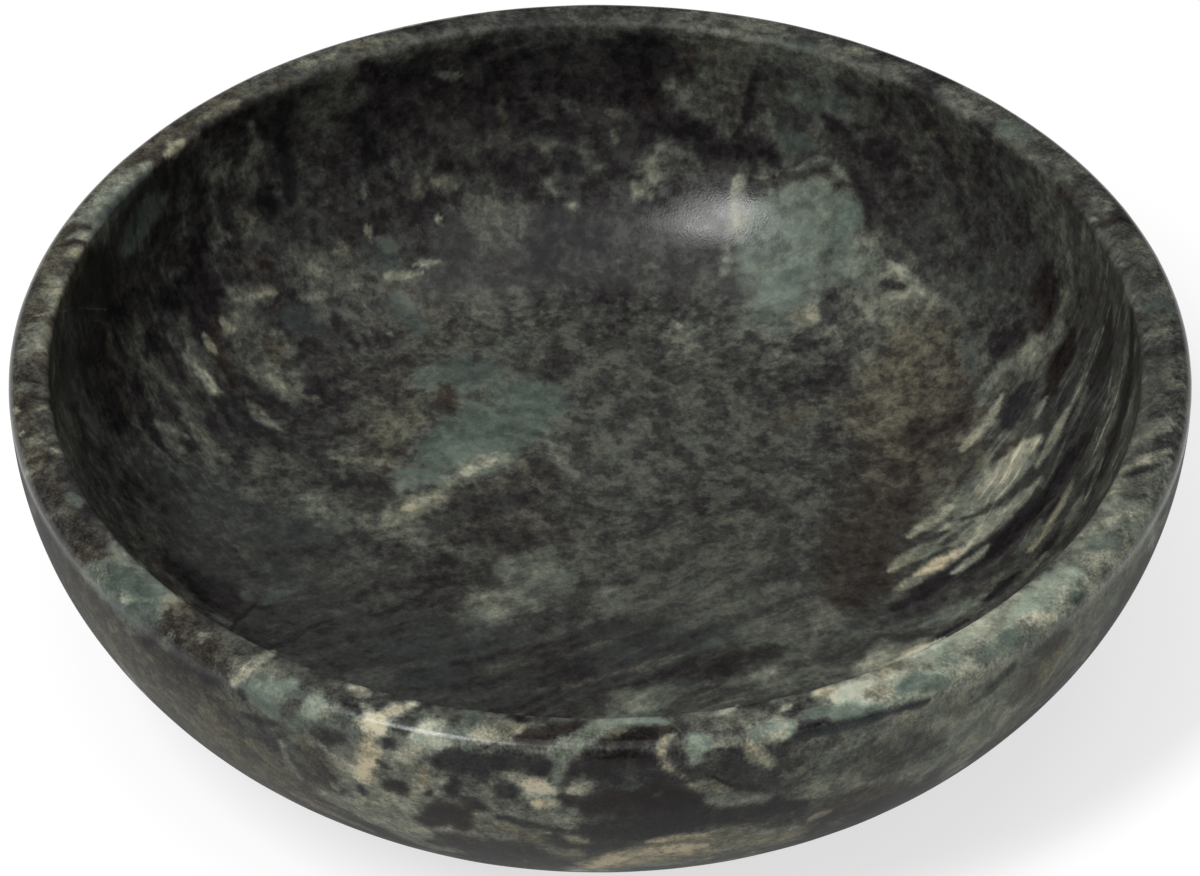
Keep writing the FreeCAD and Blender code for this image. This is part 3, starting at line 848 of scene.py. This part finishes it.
class Painter:
    """Lays markings on the bowl's vertices along lines that are drawn over the photograph."""

    def __init__(self, bowl, eye):
        self.bowl = bowl
        self.eye = eye
        mesh = bowl.data
        count = len(mesh.vertices)
        self.places = np.empty(3 * count)
        mesh.vertices.foreach_get("co", self.places)
        self.places = self.places.reshape(-1, 3)
        self.normals = np.array([vertex.normal for vertex in mesh.vertices])
        self.ragged = np.array([
            noise.fractal(Vector(place) / RAGGED_LENGTH, *RAGGED_FRACTAL) for place in self.places])
        self.tone = np.full(count, BARE_TONE)
        self.hue = np.zeros(count)
        self.cover = np.zeros(count)
        self.vein = np.zeros(count)
        self.vein_offset = np.full(count, VEIN_REACH / MM)
        self.vein_width = np.full(count, 1.0)

    def cast(self, pixels):
        """Where the lines of sight through photograph pixels meet the bowl, and its normals there."""
        turn = self.eye.matrix_world.to_3x3()
        places, normals = [], []
        for x, y in pixels:
            sight = turn @ Vector((x - PHOTO_WIDTH / 2, PHOTO_HEIGHT / 2 - y, -FOCAL_LENGTH_PIXELS))
            met, place, normal, _ = self.bowl.ray_cast(self.eye.location, sight.normalized())
            if met:
                places.append(place)
                normals.append(normal)
        return np.array(places), np.array(normals)

    def measure(self, pixels, reach):
        """Vertices within reach of a drawn line, on the same side of the stone.

        Returns their indices, distances, the share of the line that is passed beside them, and the side.
        """
        path, normals = self.cast(smooth_line(pixels))
        low, high = path.min(axis=0) - reach, path.max(axis=0) + reach
        near = np.flatnonzero(((self.places > low) & (self.places < high)).all(axis=1))
        near = near[self.normals[near] @ normals.mean(axis=0) > SAME_SIDE]
        places = self.places[near]
        distance = np.full(len(near), np.inf)
        passed = np.zeros(len(near))
        side = np.ones(len(near))
        legs = len(path) - 1
        for index in range(legs):
            leg = path[index + 1] - path[index]
            offset = places - path[index]
            share = np.clip(offset @ leg / (leg @ leg), 0, 1)
            away = np.linalg.norm(offset - share[:, None] * leg, axis=1)
            closer = away < distance
            distance[closer] = away[closer]
            passed[closer] = (index + share[closer]) / legs
            across = np.einsum("ij,ij->i", np.cross(leg, offset), self.normals[near])
            side[closer] = np.where(across[closer] < 0, -1, 1)
        return near, distance, passed, side

    def marking(self, tone, hue, half_width, pixels, softness):
        """A cloud, band or fleck with a ragged edge."""
        near, distance, passed, _ = self.measure(pixels, REACH_WIDTHS * half_width)
        width = half_width * (1 - (1 - TAPER_SHARE) * (2 * passed - 1) ** 2)
        soft = np.minimum(SOFT_SHARE * width, softness)
        wander = np.minimum(RAGGED_SHARE * width, RAGGED_REACH) * self.ragged[near]
        inside = width - wander - distance
        fade = np.clip((inside / soft + 1) / 2, 0, 1)
        weight = fade * fade * (3 - 2 * fade)
        self.tone[near] += (tone - self.tone[near]) * weight
        self.hue[near] += (hue - self.hue[near]) * weight
        self.cover[near] = np.maximum(self.cover[near], weight)

    def thin_vein(self, strength, half_width, pixels):
        """A hairline, kept as the distance to it in millimetres, so that it stays sharp between vertices."""
        near, distance, passed, side = self.measure(pixels, VEIN_REACH)
        taken = distance < np.abs(self.vein_offset[near]) * MM
        near, distance, passed, side = near[taken], distance[taken], passed[taken], side[taken]
        inside = np.clip(1 - distance / VEIN_REACH, 0, 1)
        self.vein_offset[near] = side * distance / MM
        self.vein_width[near] = half_width
        ends = 1 - (2 * passed - 1) ** VEIN_END_POWER
        self.vein[near] = strength * np.minimum(1, inside / VEIN_FADE_SHARE) * ends

    def paint(self):
        """Lays on all washes, patches and veins, and keeps the result with the mesh."""
        for markings, softness in ((WASHES, WASH_SOFTNESS), (PATCHES, PATCH_SOFTNESS)):
            for tone, hue, half_width, *pixels in markings:
                self.marking(tone, hue, half_width * MM, pixels, softness)
        for strength, half_width, *pixels in VEINS.values():
            self.thin_vein(strength, half_width, pixels)
        for name in ("tone", "hue", "cover", "vein", "vein_offset", "vein_width"):
            keep(self.bowl.data, name, getattr(self, name))


class Shader:
    """A node material that is built from sockets and plain values."""

    def __init__(self, name):
        self.material = bpy.data.materials.new(name)
        self.material.use_nodes = True
        self.nodes = self.material.node_tree.nodes
        self.links = self.material.node_tree.links
        self.surface = self.nodes["Principled BSDF"]

    def feed(self, socket, value):
        """Links a socket, or sets a plain value."""
        if isinstance(value, bpy.types.NodeSocket):
            self.links.new(value, socket)
        else:
            socket.default_value = value

    def set(self, **values):
        """Feeds the shader's own sockets, named with _ for a space."""
        for name, value in values.items():
            self.feed(self.surface.inputs[name.replace("_", " ")], value)

    def node(self, kind, inputs=None, **settings):
        made = self.nodes.new(kind)
        for key, value in settings.items():
            setattr(made, key, value)
        for key, value in (inputs or {}).items():
            self.feed(made.inputs[key], value)
        return made

    def math(self, operation, first, second=0.0, third=0.0):
        return self.node("ShaderNodeMath", {0: first, 1: second, 2: third}, operation=operation).outputs[0]

    def times(self, first, second):
        return self.math("MULTIPLY", first, second)

    def add(self, total, value, weight):
        """The total with a weighted value added."""
        return self.math("MULTIPLY_ADD", value, weight, total)

    def less(self, value, share=1.0):
        """What a share of the value leaves of 1."""
        return self.add(1.0, value, -share)

    def vector(self, operation, first, second):
        made = self.node("ShaderNodeVectorMath", {0: first, 1: second}, operation=operation)
        return made.outputs["Vector"]

    def place(self):
        """Where on the piece a point lies."""
        return self.node("ShaderNodeTexCoord").outputs["Object"]

    def parts(self, vector):
        """The X, Y and Z of a vector."""
        return self.node("ShaderNodeSeparateXYZ", {"Vector": vector}).outputs

    def attribute(self, name):
        return self.node("ShaderNodeAttribute", attribute_name=name).outputs["Fac"]

    def cloud(self, place, size, detail, roughness):
        """Cloudy noise about 0, mostly within 0.25 of it, with features of about the given size."""
        made = self.node("ShaderNodeTexNoise", {
            "Vector": place, "Scale": 1 / size, "Detail": detail, "Roughness": roughness})
        return self.math("SUBTRACT", made.outputs["Fac"], MIDDLE)

    def span(self, value, low, high, to_low=0.0, to_high=1.0):
        """The value carried smoothly from one span to another, and kept inside it."""
        made = self.node("ShaderNodeMapRange", {
            "Value": value, "From Min": low, "From Max": high, "To Min": to_low, "To Max": to_high},
            interpolation_type="SMOOTHSTEP")
        return made.outputs["Result"]

    def mix(self, share, first, second, blend="MIX"):
        """Two colours mixed. The node's colour sockets are told apart by number only."""
        made = self.node("ShaderNodeMix", data_type="RGBA", blend_type=blend)
        self.feed(made.inputs[0], share)
        self.feed(made.inputs[6], first)
        self.feed(made.inputs[7], second)
        return made.outputs[2]

    def ramp(self, value, stops):
        """A colour ramp with stops of a position and a screen colour."""
        made = self.node("ShaderNodeValToRGB", {"Fac": value})
        elements = made.color_ramp.elements
        while len(elements) < len(stops):
            elements.new(MIDDLE)
        for element, (position, colour) in zip(elements, stops):
            element.position = position
            element.color = srgb(*colour)
        return made.outputs["Color"]

    def bump(self, height, distance):
        made = self.node("ShaderNodeBump", {"Height": height, "Distance": distance})
        self.set(Normal=made.outputs["Normal"])


class Marble(Shader):
    """Dark green stone: painted markings, broken up by clouds, streaks along the layers, grain and veins."""

    def __init__(self):
        super().__init__("green_marble")
        self.at = self.place()
        self.level = self.parts(self.at)[2]
        self.folded = self.fold()
        self.hollow = self.attribute("hollow")
        self.cover = self.attribute("cover")
        self.bare = self.times(self.less(self.cover), self.less(self.hollow, HOLLOW_BARE_LOSS_SHARE))
        self.clouds = self.cloud(self.folded, *CLOUD_NOISE)
        self.mottle = self.cloud(self.at, *MOTTLE_NOISE)
        self.grain = self.cloud(self.at, *GRAIN_NOISE)
        hue = self.hue()
        self.teal = self.span(hue, *TEAL_SPAN)
        self.brown = self.span(hue, *BROWN_SPAN)
        self.ground = self.span(self.level, *GROUND_SPAN)
        self.set(Base_Color=self.colour(), Roughness=self.roughness(), Specular_IOR_Level=STONE_SPECULAR)
        self.bump(self.grain, GRAIN_RELIEF)

    def fold(self):
        """Places shifted about, so that the noises in them bend."""
        shift = self.node("ShaderNodeTexNoise", {
            "Vector": self.at, "Scale": 1 / FOLD_SIZE, "Detail": FOLD_DETAIL})
        shift = self.vector("SUBTRACT", shift.outputs["Color"], (MIDDLE,) * 3)
        shift = self.vector("MULTIPLY", shift, (FOLD_REACH,) * 3)
        return self.vector("ADD", self.at, shift)

    def layered(self, place, turn, stretch):
        """Places in the stone's layers, turned about the Z axis, along which a noise is stretched."""
        return self.node("ShaderNodeMapping", {
            "Vector": place, "Rotation": (0, 0, turn), "Scale": stretch}, vector_type="TEXTURE").outputs[0]

    def hue(self):
        """From brown below 0 to teal above it."""
        hue = self.add(self.attribute("hue"), self.cloud(self.folded, *HUE_NOISE), HUE_SHARE)
        hue = self.add(hue, self.cloud(self.at, *HUE_SPOT_NOISE), HUE_SPOT_SHARE)
        return self.add(hue, self.times(self.cloud(self.folded, *BARE_HUE_NOISE), self.bare), BARE_HUE_SHARE)

    def painted(self):
        """The painted tone, with pale islands and ridges where nothing is painted."""
        islands = self.span(self.cloud(self.folded, *ISLAND_NOISE), *ISLAND_SPAN)
        ridge = self.math("ABSOLUTE", self.cloud(self.folded, *RIDGE_NOISE))
        islands = self.add(islands, self.span(ridge, *RIDGE_SPAN), RIDGE_SHARE)
        return self.add(self.attribute("tone"), islands, self.bare)

    def texture(self):
        """What patches, spots, streaks, flecks, grain and drift add to the tone."""
        x, y, height = self.parts(self.folded)
        right = self.times(self.span(x, *RIGHT_WALL_SPAN), self.hollow)
        right = self.times(right, self.span(y, *RIGHT_BACK_SPAN))
        right = self.times(right, self.span(y, *RIGHT_FRONT_SPAN))
        left = self.times(self.span(x, *LEFT_WALL_SPAN), self.hollow)
        bedded = self.times(self.span(self.level, *BED_HEIGHT_SPAN), self.hollow)
        bedded = self.times(bedded, self.span(y, *BED_DEPTH_SPAN))

        texture = self.times(self.span(self.clouds, *PATCH_SPAN), PATCH_SHARE)
        texture = self.add(texture, self.span(self.mottle, *SPOT_SPAN), SPOT_SHARE)
        texture = self.times(texture, self.less(self.math("MAXIMUM", right, bedded), STREAKED_LOSS_SHARE))

        mirrored = self.node("ShaderNodeCombineXYZ", {"X": self.math("ABSOLUTE", x), "Y": y, "Z": height})
        layers = self.layered(mirrored.outputs[0], LAYER_TURN, (1, STREAK_STRETCH, STREAK_STRETCH))
        layers = self.cloud(layers, *STREAK_NOISE)
        streaks = self.span(layers, *PALE_STREAK_SPAN)
        streaks = self.math("ADD", streaks, self.span(layers, *DARK_STREAK_SPAN))
        texture = self.add(texture, streaks, self.add(right, left, LEFT_STREAK_SHARE))
        beds = self.layered(self.folded, FLOOR_LAYER_TURN, (FLOOR_STREAK_STRETCH, 1, 1))
        beds = self.span(self.cloud(beds, *BED_NOISE), *BED_SPAN)
        texture = self.add(texture, beds, bedded)

        texture = self.add(texture, self.cloud(self.at, *FLECK_NOISE), FLECK_SHARE)
        rough = self.less(self.hollow, HOLLOW_GRAIN_LOSS_SHARE)
        rough = self.add(rough, self.times(self.span(self.level, *ROUGH_RIM_SPAN), rough), ROUGH_RIM_SHARE)
        texture = self.add(texture, self.grain, self.times(rough, GRAIN_SHARE))
        drift = self.times(self.cloud(self.folded, *DRIFT_NOISE), self.less(self.cover, COVERED_LOSS_SHARE))
        return self.add(texture, drift, DRIFT_SHARE)

    def veins(self):
        """What the veins add to the tone. They waver and break up."""
        gap = self.add(self.attribute("vein_offset"), self.clouds, VEIN_CLOUD_SHIFT)
        gap = self.math("ABSOLUTE", self.add(gap, self.mottle, VEIN_MOTTLE_SHIFT))
        gap = self.math("DIVIDE", gap, self.attribute("vein_width"))
        vein = self.times(self.span(gap, *VEIN_SPAN), self.attribute("vein"))
        return self.times(vein, self.span(self.math("ADD", self.clouds, self.mottle), *VEIN_BREAK_SPAN))

    def colour(self):
        painted = self.painted()
        lively = self.times(self.span(painted, *LIVELY_SPAN), self.less(self.teal, TEAL_LOSS_SHARE))
        tone = self.add(painted, self.texture(), lively)
        colour = self.ramp(self.math("ADD", tone, self.veins()), STONE_COLOURS)
        colour = self.mix(self.teal, colour, TEAL_TINT, "MULTIPLY")
        colour = self.mix(self.brown, colour, BROWN_TINT, "MULTIPLY")
        return self.mix(self.times(self.ground, GROUND_DUST_SHARE), colour, srgb(*GROUND_DUST))

    def roughness(self):
        """Polished, with a duller land, belly and ground base, and unevenly in the mottle and clouds."""
        land = self.times(self.span(self.level, *LAND_SPAN), self.hollow)
        honed = self.times(self.span(self.level, *HONED_SPAN), self.less(self.hollow))
        roughness = self.add(POLISH_ROUGHNESS, land, LAND_ROUGHNESS)
        roughness = self.add(roughness, honed, HONED_ROUGHNESS)
        roughness = self.add(roughness, self.ground, GROUND_ROUGHNESS)
        roughness = self.add(roughness, self.mottle, MOTTLE_ROUGHNESS)
        return self.add(roughness, self.clouds, CLOUD_ROUGHNESS)


def silicone():
    """Clear silicone of the feet: cloudy inside, with a little dust on its skin."""
    shader = Shader("foot_silicone")
    place = shader.place()
    haze = shader.cloud(place, *HAZE_NOISE)
    dust = shader.span(shader.cloud(place, *DUST_NOISE), *DUST_SPAN)
    colour = shader.ramp(shader.add(MIDDLE, haze, HAZE_SHARE), SILICONE_COLOURS)
    colour = shader.mix(shader.times(dust, DUST_SHARE), colour, srgb(*DUST_COLOUR))
    roughness = shader.add(SILICONE_ROUGHNESS, haze, HAZE_ROUGHNESS)
    roughness = shader.add(roughness, dust, DUST_ROUGHNESS)
    shader.set(Base_Color=colour, Roughness=roughness)
    shader.set(Transmission_Weight=SILICONE_CLEAR_SHARE, IOR=SILICONE_IOR)
    shader.bump(haze, HAZE_RELIEF)
    return shader.material


def film():
    """Adhesive film between the feet and the stone: milky, mottled glue with fine bubbles."""
    shader = Shader("adhesive_film")
    place = shader.place()
    glue = shader.cloud(place, *GLUE_NOISE)
    cells = shader.node("ShaderNodeTexVoronoi", {"Vector": place, "Scale": 1 / BUBBLE_SPACING})
    bubble = shader.span(cells.outputs["Distance"], *BUBBLE_SPAN)
    colour = shader.ramp(shader.add(MIDDLE, glue, GLUE_SHARE), FILM_COLOURS)
    colour = shader.mix(shader.times(bubble, BUBBLE_SHARE), colour, srgb(*BUBBLE_COLOUR))
    roughness = shader.add(FILM_ROUGHNESS, glue, GLUE_ROUGHNESS)
    shader.set(Base_Color=colour, Roughness=roughness)
    shader.set(Transmission_Weight=FILM_CLEAR_SHARE, IOR=FILM_IOR)
    shader.bump(bubble, BUBBLE_RELIEF)
    return shader.material


def camera():
    """The photograph's camera, which looks at the dish from the front and above."""
    data = bpy.data.cameras.new("camera")
    data.lens = FOCAL_LENGTH_PIXELS / PHOTO_WIDTH * data.sensor_width
    made = bpy.data.objects.new("camera", data)
    back = Vector((0, -math.cos(CAMERA_ELEVATION), math.sin(CAMERA_ELEVATION)))
    made.location = Vector((0, -AIM_BEFORE_MIDDLE, rim_z)) + back * CAMERA_DISTANCE
    made.rotation_euler = (-back).to_track_quat("-Z", "Y").to_euler()
    bpy.context.scene.collection.objects.link(made)
    bpy.context.scene.camera = made
    bpy.context.view_layer.update()
    return made


def bowl(eye, material):
    """The bowl, turned, painted with the stone's markings and put in place of the plain solid."""
    profile, shares = bowl_profile()
    made = bpy.data.objects.new("marble_bowl", turned_mesh("marble_bowl", profile, shares))
    bpy.context.scene.collection.objects.link(made)
    bpy.context.view_layer.update()
    Painter(made, eye).paint()
    made.data.materials.append(material)
    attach(made, "root")
    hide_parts("bowl")


def lamp(name, azimuth, elevation, distance, width, height, power):
    """A rectangular soft light that shines at the dish from a direction given in degrees."""
    light = bpy.data.lights.new(name, "AREA")
    light.shape = "RECTANGLE"
    light.size = width
    light.size_y = height
    light.energy = power
    made = bpy.data.objects.new(name, light)
    turn, rise = math.radians(azimuth), math.radians(elevation)
    away = Vector((math.sin(turn) * math.cos(rise), -math.cos(turn) * math.cos(rise), math.sin(rise)))
    made.location = away * distance
    made.rotation_euler = (-away).to_track_quat("-Z", "Y").to_euler()
    bpy.context.scene.collection.objects.link(made)


def floor():
    """A wide pale floor: white to the camera and in reflections, with the dish's soft shadow on it."""
    half = FLOOR_SIZE / 2
    corners = ((-half, -half), (half, -half), (half, half), (-half, half))
    mesh = bpy.data.meshes.new("floor")
    mesh.from_pydata([(x, y, -FLOOR_GAP) for x, y in corners], [], [(0, 1, 2, 3)])
    made = bpy.data.objects.new("floor", mesh)
    bpy.context.scene.collection.objects.link(made)
    paint = Shader("floor_paint")
    rays = paint.node("ShaderNodeLightPath").outputs
    seen = paint.math("MAXIMUM", rays["Is Camera Ray"], rays["Is Glossy Ray"])
    seen = paint.math("MAXIMUM", seen, rays["Is Transmission Ray"])
    paint.set(
        Base_Color=paint.mix(seen, FLOOR_BOUNCE, FLOOR_SEEN), Roughness=1.0, Specular_IOR_Level=0.0,
        Emission_Color=WHITE, Emission_Strength=paint.times(seen, FLOOR_GLOW))
    mesh.materials.append(paint.material)


def studio():
    """The floor, a tall key light at the front left, a wide one overhead and an even surround."""
    scene = bpy.context.scene
    scene.view_settings.view_transform = "Standard"
    floor()
    world = bpy.data.worlds.new("surround")
    scene.world = world
    world.use_nodes = True
    background = world.node_tree.nodes["Background"]
    background.inputs["Color"].default_value = WHITE
    background.inputs["Strength"].default_value = SURROUND_STRENGTH
    for name, values in LAMPS.items():
        lamp(name, *values)


studio()
bowl(camera(), Marble().material)
clear, milky = silicone(), film()
for name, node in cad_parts.items():
    if name != "bowl":
        node.data.materials.clear()
        node.data.materials.append(milky if name == "adhesive_discs" else clear)
